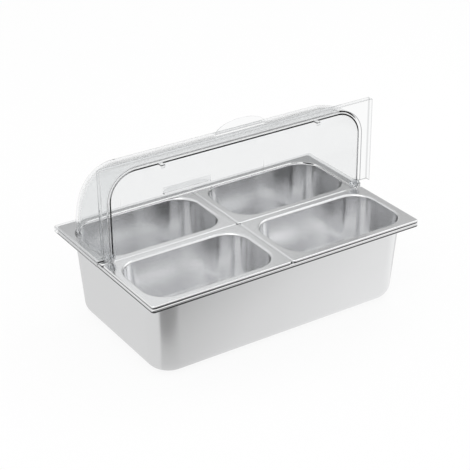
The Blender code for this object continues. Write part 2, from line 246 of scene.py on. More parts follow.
def sheetSteel(name, kind):
    # Satin sheet: fine noise stretched into brush lines sets the roughness and a faint bump,
    # and a broad slow noise smudges both the roughness and the colour a little
    material, nodes, links = newMaterial(name)
    look = steel[kind]
    shader = nodes["Principled BSDF"]
    shader.inputs["Metallic"].default_value = 1.0
    place = nodes.new("ShaderNodeTexCoord").outputs["Object"]
    stretch = nodes.new("ShaderNodeMapping")
    stretch.inputs["Scale"].default_value = look["lines"]
    links.new(place, stretch.inputs["Vector"])
    lines = noiseNode(nodes, links, stretch.outputs["Vector"], 1.0, steel["lineDetail"])
    smudge = noiseNode(nodes, links, place, steel["smudgeScale"], steel["smudgeDetail"])
    blend = mixNode(nodes, links, "FLOAT", steel["smudgeShare"], lines, smudge)
    rough = rangeNode(nodes, links, blend, steel["noiseSpan"], look["roughness"])
    links.new(rough, shader.inputs["Roughness"])
    dark, bright = [(*[min(c * tone, 1.0) for c in look["colour"]], 1.0)
                    for tone in steel["smudgeTones"]]
    links.new(mixNode(nodes, links, "RGBA", smudge, dark, bright), shader.inputs["Base Color"])
    addBump(nodes, links, lines, steel["brushDepth"], steel["brushHeight"], shader)
    return material


# Plastic: each kind's tint, haze, index and roughness range, then the patterns that all share
plastic = {
    "rear": {"tint": (0.916, 0.920, 0.922), "haze": 0.0, "index": 1.12, "roughness": (0.0, 0.010)},
    "front": {"tint": (0.960, 0.963, 0.964), "haze": 0.0, "index": 1.05, "roughness": (0.0, 0.010)},
    # The turned-edge tint is grey: painted shade for the dark line along the flange's turned edge
    # and the lip's end
    "turn": {"tint": (0.62, 0.625, 0.63), "haze": 0.0, "index": 1.10, "roughness": (0.0, 0.02)},
    # The cut rim is a little frosted (haze), and its near-black tint is painted shade for the dark
    # line along the leading edge
    "rim": {"tint": (0.20, 0.20, 0.205), "haze": 0.10, "index": 1.12, "roughness": (0.05, 0.12)},
    # This tint is near black: painted shade for the dark line that the inside fillet shows
    "fold": {"tint": (0.20, 0.20, 0.205), "haze": 0.0, "index": 1.05, "roughness": (0.0, 0.02)},
    "pivot": {"tint": (0.86, 0.87, 0.88), "haze": 0.02, "index": 1.30, "roughness": (0.0, 0.03)},
    "scuffScale": 22.0, "scuffDetail": 4.0, "scuffSpan": (0.45, 0.75),
    "flowScale": 3.0, "flowDetail": 1.0, "flowHeight": 0.0006, "flowDepth": 0.02,
}


def clearPlastic(name, kind):
    # Clear moulding: light scuffs vary the gloss, a slow flow pattern bends the surface slightly,
    # and the haze share scatters light instead of passing it on
    material, nodes, links = newMaterial(name)
    look = plastic[kind]
    shader = nodes["Principled BSDF"]
    shader.inputs["Base Color"].default_value = (*look["tint"], 1.0)
    shader.inputs["Transmission Weight"].default_value = 1.0 - look["haze"]
    shader.inputs["IOR"].default_value = look["index"]
    place = nodes.new("ShaderNodeTexCoord").outputs["Object"]
    scuffs = noiseNode(nodes, links, place, plastic["scuffScale"], plastic["scuffDetail"])
    rough = rangeNode(nodes, links, scuffs, plastic["scuffSpan"], look["roughness"])
    links.new(rough, shader.inputs["Roughness"])
    flow = noiseNode(nodes, links, place, plastic["flowScale"], plastic["flowDetail"])
    addBump(nodes, links, flow, plastic["flowDepth"], plastic["flowHeight"], shader)
    return material


panSteel = sheetSteel("panSteelSatin", "pan")
innerSteel = sheetSteel("innerSteelSatin", "inner")
# Polished edge steel, lighter as a painted highlight
edgeHighlightSteel = sheetSteel("edgeSteelPolishedPaintedHighlight", "edge")
# Near-black steel: painted shade for the dark line under the lips
shadeBandSteel = sheetSteel("paintedShadeBandSteel", "shadeBand")
rearPlastic = clearPlastic("coverRearClear", "rear")
frontPlastic = clearPlastic("coverFrontClear", "front")
# Grey tint: painted shade along the cover's turned edges and lip ends
turnedEdgeShadePlastic = clearPlastic("coverPlasticTurnedEdgePaintedShade", "turn")
# Near-black tint: painted shade along the rear half's leading edge
rimShadePlastic = clearPlastic("coverPlasticRimPaintedShade", "rim")
# Near-black tint: painted shade along the front half's inside fillet
foldShadePlastic = clearPlastic("coverPlasticFoldPaintedShade", "fold")
pivotPlastic = clearPlastic("pivotPlasticClear", "pivot")
print("materials made")


# The outer pan, a quarter pan, and the steps and shares of the rows that both kinds have
outerPan = {
    "length": 530 * mm, "width": 325 * mm, "top": 150 * mm, "depth": 150 * mm, "sheet": 1.0 * mm,
    # The shade band is the stretch of lip above the curl that is painted near black as shade
    "flange": 12.8 * mm, "lip": 7.2 * mm, "curl": 1.6 * mm, "shadeBand": 1.4 * mm, "edge": 2.2 * mm,
    "outlineCorner": 6.0 * mm, "mouthCorner": 41.5 * mm, "bend": 3.0 * mm, "floorRadius": 24 * mm,
    "lean": 0.06, "bow": 0.5 * mm, "crown": 0.4 * mm, "flatUnder": True,
    "cornerSteps": 28, "floorSteps": 14,
    "sideShares": (0.03, 0.1, 0.22, 0.36, 0.5, 0.64, 0.78, 0.9, 0.97),
}
quarterPan = {
    "length": 263.2 * mm, "width": 161.7 * mm, "top": 155 * mm, "depth": 100 * mm,
    "sheet": 0.8 * mm, "flange": 14.0 * mm, "lip": 4.7 * mm, "curl": 1.1 * mm, "shadeBand": 0.7 * mm,
    "edge": 1.6 * mm, "outlineCorner": 5.0 * mm, "mouthCorner": 40.0 * mm, "bend": 3.2 * mm,
    "floorRadius": 20 * mm, "lean": 0.06, "bow": 0.35 * mm, "crown": 0.3 * mm, "flatUnder": False,
    "cornerSteps": 24, "floorSteps": 12,
    "sideShares": (0.04, 0.14, 0.32, 0.5, 0.68, 0.86, 0.96),
    "offsetX": 133.1 * mm, "offsetY": 81.35 * mm,
}
panGrid = {
    "floorScales": (0.12, 0.4, 0.7, 0.9, 0.98), "wallShares": (0.12, 0.3, 0.5, 0.7, 0.88),
    "flangeShares": (0.1, 0.5, 0.9), "lipShares": (0.4, 0.97),
    "bendSteps": 7, "edgeSteps": 6, "curlSteps": 5, "curlTurn": 0.95 * quarterTurn,
}


def ringPattern(cornerSteps, sideShares):
    # A rounded rectangle as fixed numbers: a point is a*(half - corner) + b*corner on each axis.
    # Corner points turn a quarter circle, side points slide from one corner centre to the next.
    quarter = np.arange(4)
    signX = np.array([1.0, -1.0, -1.0, 1.0])[:, None]
    signY = np.array([1.0, 1.0, -1.0, -1.0])[:, None]
    share = np.linspace(0.0, 1.0, cornerSteps + 1)[None, :]
    side = np.array(sideShares)[None, :]
    turn = (quarter[:, None] + share) * quarterTurn
    endTurn = np.repeat((quarter[:, None] + 1) * quarterTurn, side.shape[1], axis=1)
    onCorner = np.ones_like(turn)
    nextX = np.roll(signX, -1, axis=0)
    nextY = np.roll(signY, -1, axis=0)
    pattern = {
        "ax": np.hstack([signX * onCorner, signX * (1 - side) + nextX * side]),
        "ay": np.hstack([signY * onCorner, signY * (1 - side) + nextY * side]),
        "bx": np.hstack([np.cos(turn), np.cos(endTurn)]),
        "by": np.hstack([np.sin(turn), np.sin(endTurn)]),
        "bow": np.hstack([0.0 * onCorner, np.repeat(4 * side * (1 - side), 4, axis=0)]),
    }
    return {key: value.ravel()[None, :] for key, value in pattern.items()}


def panSkin(pan, outside):
    # One skin of the sheet from the floor's middle to the lip's end, as rows of inset, drop,
    # corner, scale, bow and finish: floor, floor arc, leaning wall, mouth arc, flat flange, turned
    # edge, and a lip whose end curls in. The outside skin is the inside one moved by the sheet
    # along its normal. The finish is 1 for the polished turned edge, whose lighter colour is a
    # painted highlight, and 2 for the lip's last stretch and curl, painted near black as shade.
    sheet = pan["sheet"]
    lean = pan["lean"]
    slant = np.sqrt(1 + lean ** 2)
    leanTurn = np.arctan(lean)
    floorRadius = pan["floorRadius"]
    floorCentreDrop = pan["depth"] - sheet - floorRadius
    floorCentreInset = pan["flange"] + lean * floorCentreDrop + floorRadius * slant
    bendRadius = pan["bend"] + sheet
    bendCentreInset = pan["flange"] + lean * bendRadius - bendRadius * slant
    edge = pan["edge"]
    move = sheet if outside else 0.0
    rows = []

    def add(inset, drop, corner, scale=1.0, bow=0.0, finish=0.0):
        # The next rows of the skin
        rows.append(stackRow((inset, drop, corner, scale, bow, finish)))

    turn = arc(quarterTurn, leanTurn, pan["floorSteps"])
    reach = floorRadius + move
    inset = floorCentreInset - reach * np.cos(turn)
    wallFoot = floorCentreInset - floorRadius * np.cos(leanTurn)
    fromWall = floorCentreInset - floorRadius * np.cos(turn) - wallFoot
    corner = pan["mouthCorner"] - fromWall + move * np.cos(turn)
    drop = floorCentreDrop + reach * np.sin(turn)
    scales = np.array(panGrid["floorScales"])
    crown = 0.0 if outside and pan["flatUnder"] else pan["crown"]
    add(inset[0], drop[0] - crown * (1 - scales ** 2), corner[0], scale=scales)
    add(inset, drop, corner)

    mouthTurn = arc(leanTurn, quarterTurn, panGrid["bendSteps"])
    mouthReach = bendRadius - move
    mouthInset = bendCentreInset + mouthReach * np.cos(mouthTurn)
    mouthDrop = bendRadius - mouthReach * np.sin(mouthTurn)
    pastWall = pan["flange"] - bendCentreInset - bendRadius * np.cos(mouthTurn)
    mouthCorner = pan["mouthCorner"] + pastWall + move * np.cos(mouthTurn)
    share = np.array(panGrid["wallShares"])
    wallInset = inset[-1] + (mouthInset[0] - inset[-1]) * share
    wallDrop = drop[-1] + (mouthDrop[0] - drop[-1]) * share
    wallCorner = corner[-1] + (mouthCorner[0] - corner[-1]) * share
    add(wallInset, wallDrop, wallCorner, bow=pan["bow"] * np.sin(halfTurn * share))
    add(mouthInset, mouthDrop, mouthCorner)

    share = np.array(panGrid["flangeShares"])
    edgeCorner = pan["outlineCorner"] - edge
    flangeInset = mouthInset[-1] + (edge - mouthInset[-1]) * share
    add(flangeInset, move, mouthCorner[-1] + (edgeCorner - mouthCorner[-1]) * share)
    # The turned edge's rows take the polished steel, lighter as a painted highlight
    turn = arc(0.0, quarterTurn, panGrid["edgeSteps"])
    inset = edge - (edge - move) * np.sin(turn)
    add(inset, edge - (edge - move) * np.cos(turn), pan["outlineCorner"] - inset, finish=1.0)

    # The lip's last stretch and its curl take the near-black steel: painted shade under the rim
    curl = pan["curl"]
    shadeBandFrom = pan["lip"] - curl - pan["shadeBand"]
    lipCorner = pan["outlineCorner"] - move
    add(move, np.array(panGrid["lipShares"]) * (shadeBandFrom - edge) + edge, lipCorner)
    add(move, shadeBandFrom, lipCorner, finish=2.0)
    turn = arc(0.0, panGrid["curlTurn"], panGrid["curlSteps"])
    inset = curl - (curl - move) * np.cos(turn)
    curlDrop = pan["lip"] - curl + (curl - move) * np.sin(turn)
    add(inset, curlDrop, pan["outlineCorner"] - inset, finish=2.0)
    return np.vstack(rows)


def panBody(pan, centre):
    # Both skins of a pan as rings: each row's rounded rectangle, scaled, bowed and lowered from
    # the top. A face has a finish where both its rows have it.
    rows = np.vstack([panSkin(pan, False), panSkin(pan, True)[::-1]])
    inset, drop, corner, scale, bow, finish = [column[:, None] for column in rows.T]
    ring = ringPattern(pan["cornerSteps"], pan["sideShares"])
    halfX = pan["length"] / 2 - inset - corner
    halfY = pan["width"] / 2 - inset - corner
    swell = bow * ring["bow"]
    x = scale * (ring["ax"] * halfX + ring["bx"] * (corner + swell))
    y = scale * (ring["ay"] * halfY + ring["by"] * (corner + swell))
    z = np.broadcast_to(pan["top"] - drop, x.shape)
    points = np.stack([x + centre[0], y + centre[1], z], axis=-1)
    finishes = np.minimum(finish[:-1], finish[1:]).ravel()
    return shellBody(points), np.repeat(finishes.astype(np.int32), x.shape[1])


def makePan(name, node, body, pan, centre, sheetMaterial):
    # The pan's sheet steel; its turned edge is polished and lighter as a painted highlight, and the
    # lip's last stretch and curl are painted near black as shade
    shape, finishes = panBody(pan, centre)
    piece = makePiece(name, shape, [sheetMaterial, edgeHighlightSteel, shadeBandSteel])
    setFinishes(piece, finishes, 0)
    evenNormals(piece)
    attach(piece, body)
    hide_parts(node)


makePan("outerPanSheet", "outer_pan", "outer_pan", outerPan, (0.0, 0.0), panSteel)
for row, sideY in (("front", -1), ("back", 1)):
    for hand, sideX in (("left", -1), ("right", 1)):
        node = f"pan_{row}_{hand}"
        centre = (sideX * quarterPan["offsetX"], sideY * quarterPan["offsetY"])
        makePan(f"{node}_sheet", node, node, quarterPan, centre, innerSteel)
print("pans made")


# The support bar: a folded channel and the ridge on it, whose ends drop and narrow a little
supportBar = {
    "top": 150 * mm, "sheet": 1.2 * mm, "halfWidth": 10 * mm, "skirt": 6.5 * mm,
    "bend": 1.8 * mm, "halfRun": 148.2 * mm, "foldSteps": 5, "channelRows": 9,
    "ridgeHalf": 1.2 * mm, "ridgeTop": 155 * mm, "ridgeFoot": 150.3 * mm,
    "ridgeRoot": 149.4 * mm, "ridgeReach": 162.2 * mm, "ridgeRound": 0.9 * mm, "ridgeSteps": 4,
    "ridgeMiddle": 60 * mm, "stepOut": 0.1 * mm, "stepIn": 0.3 * mm,
    "endRun": 0.4 * mm, "endDrop": 0.4 * mm, "endThin": 0.7,
}


def carriedLoop(across, height, alongRows):
    # A closed profile (across, height) carried along Y: every column is the profile at one y
    x = np.repeat(across[:, None], len(alongRows), axis=1)
    y = np.repeat(alongRows[None, :], len(across), axis=0)
    z = np.repeat(height[:, None], len(alongRows), axis=1)
    return np.stack([x, y, z], axis=-1)


def channelBody(bar):
    # The folded channel: over the top with round folds and down two skirts, then back underneath
    half = bar["halfWidth"]
    bend = bar["bend"]
    turn = arc(0.0, quarterTurn, bar["foldSteps"])
    low = bar["top"] - bar["skirt"]
    outX = np.concatenate([[half], half - bend + bend * np.cos(turn)])
    outZ = np.concatenate([[low], bar["top"] - bend + bend * np.sin(turn)])
    tight = bend - bar["sheet"]
    inX = np.concatenate([[half - bar["sheet"]], half - bend + tight * np.cos(turn)])
    inZ = np.concatenate([[low], bar["top"] - bend + tight * np.sin(turn)])
    across = np.concatenate([outX, -outX[::-1], -inX, inX[::-1]])
    height = np.concatenate([outZ, outZ[::-1], inZ, inZ[::-1]])
    alongRows = np.linspace(-bar["halfRun"], bar["halfRun"], bar["channelRows"])
    return loopBody(carriedLoop(across, height, alongRows))


def ridgeBody(bar):
    # The ridge between the pans: a narrow fin with a round crest, which narrows at its two ends.
    # Its middle is rooted in the channel, and its ends lie over the pan's rim.
    half = bar["ridgeHalf"]
    crest = bar["ridgeRound"]
    turn = arc(0.0, quarterTurn, bar["ridgeSteps"])
    sideX = np.concatenate([[half, half], half - crest + crest * np.cos(turn)])
    sideShare = np.concatenate([[0.0, 0.5], np.ones(len(turn))])
    sideLift = np.concatenate([[0.0, 0.0], -crest + crest * np.sin(turn)])
    across = np.concatenate([sideX, -sideX[::-1]])
    share = np.concatenate([sideShare, sideShare[::-1]])[:, None]
    lift = np.concatenate([sideLift, sideLift[::-1]])[:, None]
    run = bar["halfRun"]
    reach = bar["ridgeReach"]
    middle = bar["ridgeMiddle"]
    before = [-reach, -reach + bar["endRun"], -run - bar["stepOut"], -run + bar["stepIn"], -middle]
    after = [middle, run - bar["stepIn"], run + bar["stepOut"], reach - bar["endRun"], reach]
    y = np.array(before + [0.0] + after)
    overRim = np.abs(y) > run
    atEnd = np.abs(y) > reach - bar["endRun"] / 2
    foot = np.where(overRim, bar["ridgeFoot"], bar["ridgeRoot"])[None, :]
    top = bar["ridgeTop"] - np.where(atEnd, bar["endDrop"], 0.0)[None, :]
    thin = np.where(atEnd, bar["endThin"], 1.0)[None, :]
    x = across[:, None] * thin
    z = foot * (1 - share) + top * share + lift
    return loopBody(np.stack([x, np.broadcast_to(y[None, :], x.shape), z], axis=-1))


barPiece = makePiece("supportBarSheet", channelBody(supportBar), [innerSteel])
unitePiece(barPiece, ridgeBody(supportBar), 35.0)
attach(barPiece, "support_bar")
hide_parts("support_bar")
print("support bar made")


# The roll cover in its own coordinates: x along the pivot axis, u away from it and w up.
# Sizes that both halves share come first, then the steps and shares of the rows and columns.
coverForm = {
    "wall": 2.8 * mm, "flangeTop": -6.9 * mm, "flangeUnder": -9.7 * mm, "lipEnd": -17.0 * mm,
    "flangeHalfLength": 270 * mm, "flangeReach": 165 * mm, "flangeCorner": 5.0 * mm,
    "edge": 2.4 * mm, "innerEdge": 0.6 * mm, "lipSheet": 2.0 * mm, "lipRound": 0.6 * mm,
    "leadRound": 0.7 * mm,
    "leadSteps": 3, "sweepSteps": 44, "cornerSteps": 30, "bendSteps": 6, "lipSteps": 2,
    "wallRadii": (8.0, 9.2, 11.0, 14.0, 19.0, 27.0, 38.0, 52.0, 68.0, 84.0),
    "straightShares": (0.02, 0.08, 0.2, 0.35, 0.5, 0.65, 0.8, 0.92, 0.98),
    "leadShares": (0.75, 0.4), "footShares": (0.3, 0.7, 0.95),
    "flangeShares": (0.06, 0.3, 0.7, 0.94), "lipShares": (0.2, 0.6, 1.0),
    "riseShare": 0.40, "bendShare": 0.20, "runFrom": 0.60, "runShare": 0.40,
    "lipTurn": 0.33 * quarterTurn, "foldShadeRows": (4, 5),
}
rearHalf = {
    "halfLength": 249.4 * mm, "radius": 147.6 * mm, "corner": 49.1 * mm, "overlap": 8.0 * mm,
    "fillet": 0.4 * mm, "ringProud": 0.0,
}
frontHalf = {
    "halfLength": 253.4 * mm, "radius": 152.3 * mm, "corner": 53.8 * mm, "overlap": 6.6 * mm,
    "fillet": 2.5 * mm, "ringProud": 0.8 * mm,
}


def archColumns(half):
    # Each column's place on the arch and on the flange's edge, as a centre and a direction:
    # x = centre + direction * corner radius, and the same for the radius and for the flange's u.
    # They run up the end wall, round the arch's corner and along the top, then mirror back.
    # Over the arch's corner, the flange's edge runs out, round its own corner and along its side.
    form = coverForm
    innerX = half["halfLength"] - half["corner"]
    wallRadius = half["radius"] - half["corner"]
    radii = np.append(np.array(form["wallRadii"]) * mm, wallRadius)
    share = np.linspace(0.0, 1.0, form["cornerSteps"] + 1)[1:]
    turn = share * quarterTurn
    straight = np.array(form["straightShares"])
    innerU = form["flangeReach"] - form["flangeCorner"]
    edgeX = form["flangeHalfLength"] - form["flangeCorner"]
    rise = np.clip(share / form["riseShare"], 0.0, 1.0)
    bend = np.clip((share - form["riseShare"]) / form["bendShare"], 0.0, 1.0) * quarterTurn
    run = np.clip((share - form["runFrom"]) / form["runShare"], 0.0, 1.0)
    one = np.ones_like(radii)
    left = {
        "archX": np.concatenate([-innerX * one, np.full_like(turn, -innerX)]),
        "archDirX": np.concatenate([-one, -np.cos(turn)]),
        "archR": np.concatenate([radii, np.full_like(turn, wallRadius)]),
        "archDirR": np.concatenate([0 * one, np.sin(turn)]),
        "edgeX": np.concatenate([-edgeX * one, -edgeX + (edgeX - innerX) * run]),
        "edgeDirX": np.concatenate([-one, -np.cos(bend)]),
        "edgeU": np.concatenate([radii, wallRadius + (innerU - wallRadius) * rise]),
        "edgeDirU": np.concatenate([0 * one, np.sin(bend)]),
    }
    middle = -innerX + 2 * innerX * straight
    fill = np.ones_like(middle)
    centre = {
        "archX": middle, "archDirX": 0 * fill, "archR": wallRadius * fill, "archDirR": fill,
        "edgeX": middle, "edgeDirX": 0 * fill, "edgeU": innerU * fill, "edgeDirU": fill,
    }
    columns = {}
    for key in left:
        mirror = -1.0 if key in ("archX", "archDirX", "edgeX", "edgeDirX") else 1.0
        columns[key] = np.concatenate([left[key], centre[key], mirror * left[key][::-1]])[None, :]
    return columns


def coverSkin(half, inside):
    # One skin as rows from the leading edge to the lip's end: round edge, quarter sweep about the
    # pivot axis, straight foot, fillet, flange, turned edge and lip. A row holds the arch's offset,
    # the share of the flange's edge, that edge's inset, u = du + cu * r, w = dw + cw * r, and its
    # finish: 1 for the flange's turned edge and the lip's end, 2 for the cut rim at the leading
    # edge, and 3 for two rows of the inside fillet. Finish 1 is tinted grey on both halves, finish
    # 2 near black on the rear half and finish 3 near black on the front half: painted shade for the
    # dark lines along these edges.
    form = coverForm
    wall = form["wall"] if inside else 0.0
    lead = half["overlap"]
    rows = []

    def add(offset=-wall, share=0.0, inset=0.0, du=0.0, cu=0.0, dw=0.0, cw=0.0, finish=0.0):
        # The next rows of the skin
        rows.append(stackRow((offset, share, inset, du, cu, dw, cw, finish)))

    edgeRound = form["leadRound"]
    turn = arc(quarterTurn, 0.0, form["leadSteps"])
    side = -1.0 if inside else 1.0
    add(offset=-wall - side * edgeRound * (1 - np.cos(turn)),
        du=-lead + edgeRound * (1 - np.sin(turn)), cw=1.0, finish=2.0)
    add(du=-lead * np.array(form["leadShares"]), cw=1.0)
    turn = arc(quarterTurn, 0.0, form["sweepSteps"])
    add(cu=np.cos(turn), cw=np.sin(turn))
    if inside:
        bend = half["fillet"] + wall
        edgeInset = form["lipSheet"] + form["innerEdge"]
        edgeReach = form["innerEdge"]
        level = form["flangeUnder"]
        lipInset = form["lipSheet"]
        foldShadeFinish, edgeFinish = 3.0, 0.0
    else:
        bend = half["fillet"]
        edgeInset = form["edge"]
        edgeReach = form["edge"]
        level = form["flangeTop"]
        lipInset = 0.0
        foldShadeFinish, edgeFinish = 0.0, 1.0
    foot = level + bend
    add(cu=1.0, dw=foot * np.array(form["footShares"]))
    turn = arc(0.0, quarterTurn, form["bendSteps"])
    # Two rows of the inside fillet take finish 3: near black on the front half, as painted shade
    line = foldShadeFinish * np.isin(np.arange(len(turn)), form["foldShadeRows"])
    add(offset=-wall + bend * (1 - np.cos(turn)), cu=1.0, dw=foot - bend * np.sin(turn),
        finish=line)
    add(offset=bend - wall, share=np.array(form["flangeShares"]), inset=edgeInset, cu=1.0,
        dw=level)
    add(share=1.0, inset=edgeInset - edgeReach * np.sin(turn), cu=1.0,
        dw=level - edgeReach * (1 - np.cos(turn)), finish=edgeFinish)
    lipRound = form["lipRound"]
    lipFrom = level - edgeReach
    lipTo = form["lipEnd"] + lipRound
    add(share=1.0, inset=lipInset, cu=1.0,
        dw=lipFrom + (lipTo - lipFrom) * np.array(form["lipShares"]))
    turn = arc(form["lipTurn"], quarterTurn, form["lipSteps"])
    add(share=1.0, inset=lipInset + side * lipRound * (1 - np.cos(turn)), cu=1.0,
        dw=lipTo - lipRound * np.sin(turn), finish=1.0)
    return np.vstack(rows)


def coverBody(half):
    # The two skins as one closed loop of rows over all the columns, with each face's finish:
    # a face has a finish where both its rows have it
    form = coverForm
    rows = np.vstack([coverSkin(half, False), coverSkin(half, True)[::-1]])
    offset, share, inset, du, cu, dw, cw, finish = [column[:, None] for column in rows.T]
    line = archColumns(half)
    reach = half["corner"] + offset
    edgeReach = form["flangeCorner"] - inset
    archX = line["archX"] + line["archDirX"] * reach
    archR = line["archR"] + line["archDirR"] * reach
    edgeX = line["edgeX"] + line["edgeDirX"] * edgeReach
    edgeU = line["edgeU"] + line["edgeDirU"] * edgeReach
    x = (1 - share) * archX + share * edgeX
    u = du + cu * ((1 - share) * archR + share * edgeU)
    w = dw + cw * archR
    finishes = np.minimum(finish, np.roll(finish, -1, axis=0)).ravel().astype(np.int32)
    return np.stack([x, u, w], axis=-1), np.repeat(finishes, x.shape[1] - 1)


def turnedLoop(profileX, profileR, steps=72):
    # A profile (x, radius) turned about the pivot axis: u = radius*cos, w = radius*sin
    turn = np.linspace(0.0, 2 * halfTurn, steps, endpoint=False)[None, :]
    x = np.repeat(profileX[:, None], steps, axis=1)
    u = profileR[:, None] * np.cos(turn)
    w = profileR[:, None] * np.sin(turn)
    return np.stack([x, u, w], axis=-1)


def ringBody(profileX, profileR):
    # A turned profile that goes round a hole: closed along the profile and about the axis
    points = turnedLoop(profileX, profileR)
    rows, columns = points.shape[:2]
    faces = gridFaces(rows, columns, closeRows=True, closeColumns=True)
    return points.reshape(-1, 3), faces.tolist()


# The ears round the pins, with the sizes of their soft corners
earForm = {
    "radius": 9.7 * mm, "hole": 3.3 * mm, "proud": 0.18 * mm, "innerShare": 0.8,
    "ringWidth": 2.7 * mm, "ringLeast": 0.02 * mm, "soft": 0.35 * mm, "holeSoft": 0.2 * mm,
}


def earBody(half, side):
    # The ear round the pin: a disc a little proud of the wall on both sides, with soft corners,
    # and on the front half a raised ring on its outside
    ear = earForm
    out = half["halfLength"] + ear["proud"]
    inner = half["halfLength"] - coverForm["wall"] - ear["proud"] * ear["innerShare"]
    crest = out + max(half["ringProud"], ear["ringLeast"])
    soft = ear["soft"]
    nick = soft * 0.3
    dip = soft * 0.4
    rEar = ear["radius"]
    rHole = ear["hole"]
    rRing = rEar - ear["ringWidth"]
    mouth = ear["holeSoft"]
    x = np.array([inner, inner, inner + nick, inner + soft, crest - soft, crest - nick, crest,
                  crest, crest - dip, out, out, out - mouth, inner + mouth])
    r = np.array([rHole + mouth, rEar - soft, rEar - nick, rEar, rEar, rEar - nick, rEar - soft,
                  rRing + soft, rRing + nick, rRing, rHole + mouth, rHole, rHole])
    return ringBody(side * x, r)


# The grip tabs with their finger ribs
gripTab = {
    "half": 49.0 * mm, "reach": 24.0 * mm, "end": 4.5 * mm, "round": 0.8 * mm,
    "rootLap": 4.2 * mm, "topDrop": 0.12 * mm, "underLift": 0.35 * mm,
    "edgeSteps": 48, "roundSteps": 4,
    "ribLow": 166.9 * mm, "ribHigh": 169.0 * mm, "ribTop": 4.0 * mm, "ribSoft": 0.45 * mm,
    "ribNick": 0.15 * mm, "footRun": 0.9 * mm, "footCurve": (0.2 * mm, 0.3 * mm),
    "footRise": 1.0 * mm, "farFoot": 0.1 * mm,
}


def tabBody():
    # The grip tab with its finger rib: one closed profile of u and w for each x, where the rib
    # stands at the root and the edge follows short straight ends and then half an ellipse
    tab = gripTab
    root = coverForm["flangeReach"]
    theta = arc(halfTurn, 0.0, tab["edgeSteps"])[None, :]
    edgeU = root + tab["end"] + (tab["reach"] - tab["end"]) * np.sin(theta)
    top = coverForm["flangeTop"] - tab["topDrop"]
    low = coverForm["flangeUnder"] + tab["underLift"]
    rib, lowU, highU = tab["ribTop"], tab["ribLow"], tab["ribHigh"]
    soft, nick, rise = tab["ribSoft"], tab["ribNick"], tab["footRise"]
    curveU, curveW = tab["footCurve"]
    topU = np.array([root - tab["rootLap"], lowU - tab["footRun"], lowU - curveU, lowU,
                     lowU + nick, lowU + soft, highU - soft, highU - nick,
                     highU, highU + tab["farFoot"]])
    topW = np.array([top, top, top + curveW, top + rise,
                     rib - nick, rib, rib, rib - nick,
                     top + rise, top])
    turn = arc(0.0, quarterTurn, tab["roundSteps"])
    rounding = tab["round"]
    profileU = np.concatenate([topU, -rounding * (1 - np.sin(turn))])
    upperW = np.concatenate([topW, top - rounding * (1 - np.cos(turn))])
    lowerW = np.concatenate([np.full(len(topU), low), low + rounding * (1 - np.cos(turn))])
    onEdge = np.concatenate([np.zeros(len(topU)), np.ones(len(turn))])
    share = np.concatenate([onEdge, onEdge[::-1]])[:, None]
    u = np.concatenate([profileU, profileU[::-1]])[:, None] + share * edgeU
    w = np.concatenate([upperW, lowerW[::-1]])[:, None]
    x = np.broadcast_to(tab["half"] * np.cos(theta), u.shape)
    return loopBody(np.stack([x, u, np.broadcast_to(w, u.shape)], axis=-1))


# Small trim in millimetres: places and half widths in x, and ranges of u and w
smallTrim = {
    "tonguesX": (-154.0, 154.0), "tongueHalf": 4.0, "tongueU": (-16.5, -5.5),
    "tongueW": (145.1, 147.3), "hookInset": 0.15, "hookRun": (-0.25, 1.45), "hookW": (141.2, 147.1),
    "backRibsX": (-150.0, 150.0), "backRibHalf": 0.8, "backRibU": (143.2, 145.4),
    "backRibW": (-7.0, 27.0),
    "nubsX": (-177.0, 0.0, 175.0), "nubHalf": 1.8, "nubU": (147.9, 150.2), "nubW": (-8.2, -2.0),
    "blockRows": 13, "blockColumns": 24, "blockPower": 0.22,
}


def softBlock(x, half, rangeU, rangeW):
    # A block with soft edges, as a superellipsoid: each sine and cosine keeps its sign and is
    # raised to a small power before it is scaled to the block's half sizes
    low = np.array((x - half, rangeU[0], rangeW[0])) * mm
    high = np.array((x + half, rangeU[1], rangeW[1])) * mm
    rise = arc(-quarterTurn, quarterTurn, smallTrim["blockRows"])[1:-1, None]
    turn = np.linspace(0.0, 2 * halfTurn, smallTrim["blockColumns"], endpoint=False)[None, :]

    def squared(value):
        # The value's size raised to the block's power, with its sign kept
        return np.sign(value) * np.abs(value) ** smallTrim["blockPower"]

    ringSize = squared(np.cos(rise))
    height = np.broadcast_to(squared(np.sin(rise)), (len(rise), turn.shape[1]))
    shape = np.stack([ringSize * squared(np.cos(turn)), ringSize * squared(np.sin(turn)), height],
                     axis=-1)
    return shellBody((low + high) / 2 + shape * (high - low) / 2)


def rearTrim():
    # The rear half's stop tongues with their end hooks, and thin ribs low on the back wall's inside
    trim = smallTrim
    half = trim["tongueHalf"]
    end = trim["tongueU"][0]
    hookU = (end + trim["hookRun"][0], end + trim["hookRun"][1])
    bodies = []
    for x in trim["tonguesX"]:
        bodies.append(softBlock(x, half, trim["tongueU"], trim["tongueW"]))
        bodies.append(softBlock(x, half - trim["hookInset"], hookU, trim["hookW"]))
    for x in trim["backRibsX"]:
        bodies.append(softBlock(x, trim["backRibHalf"], trim["backRibU"], trim["backRibW"]))
    return bodies


def frontTrim():
    # The front half's low nubs inside its foot, which close the gap to the rear half
    trim = smallTrim
    return [softBlock(x, trim["nubHalf"], trim["nubU"], trim["nubW"]) for x in trim["nubsX"]]


def toRear(points):
    # Cover coordinates x, u, w of the rear half in the model's frame
    return np.stack([points[..., 0], points[..., 1], points[..., 2] + pivotHeight], axis=-1)


def toFront(points):
    # Cover coordinates of the front half, rolled back a quarter turn over the rear half
    return np.stack([-points[..., 0], points[..., 2], points[..., 1] + pivotHeight], axis=-1)


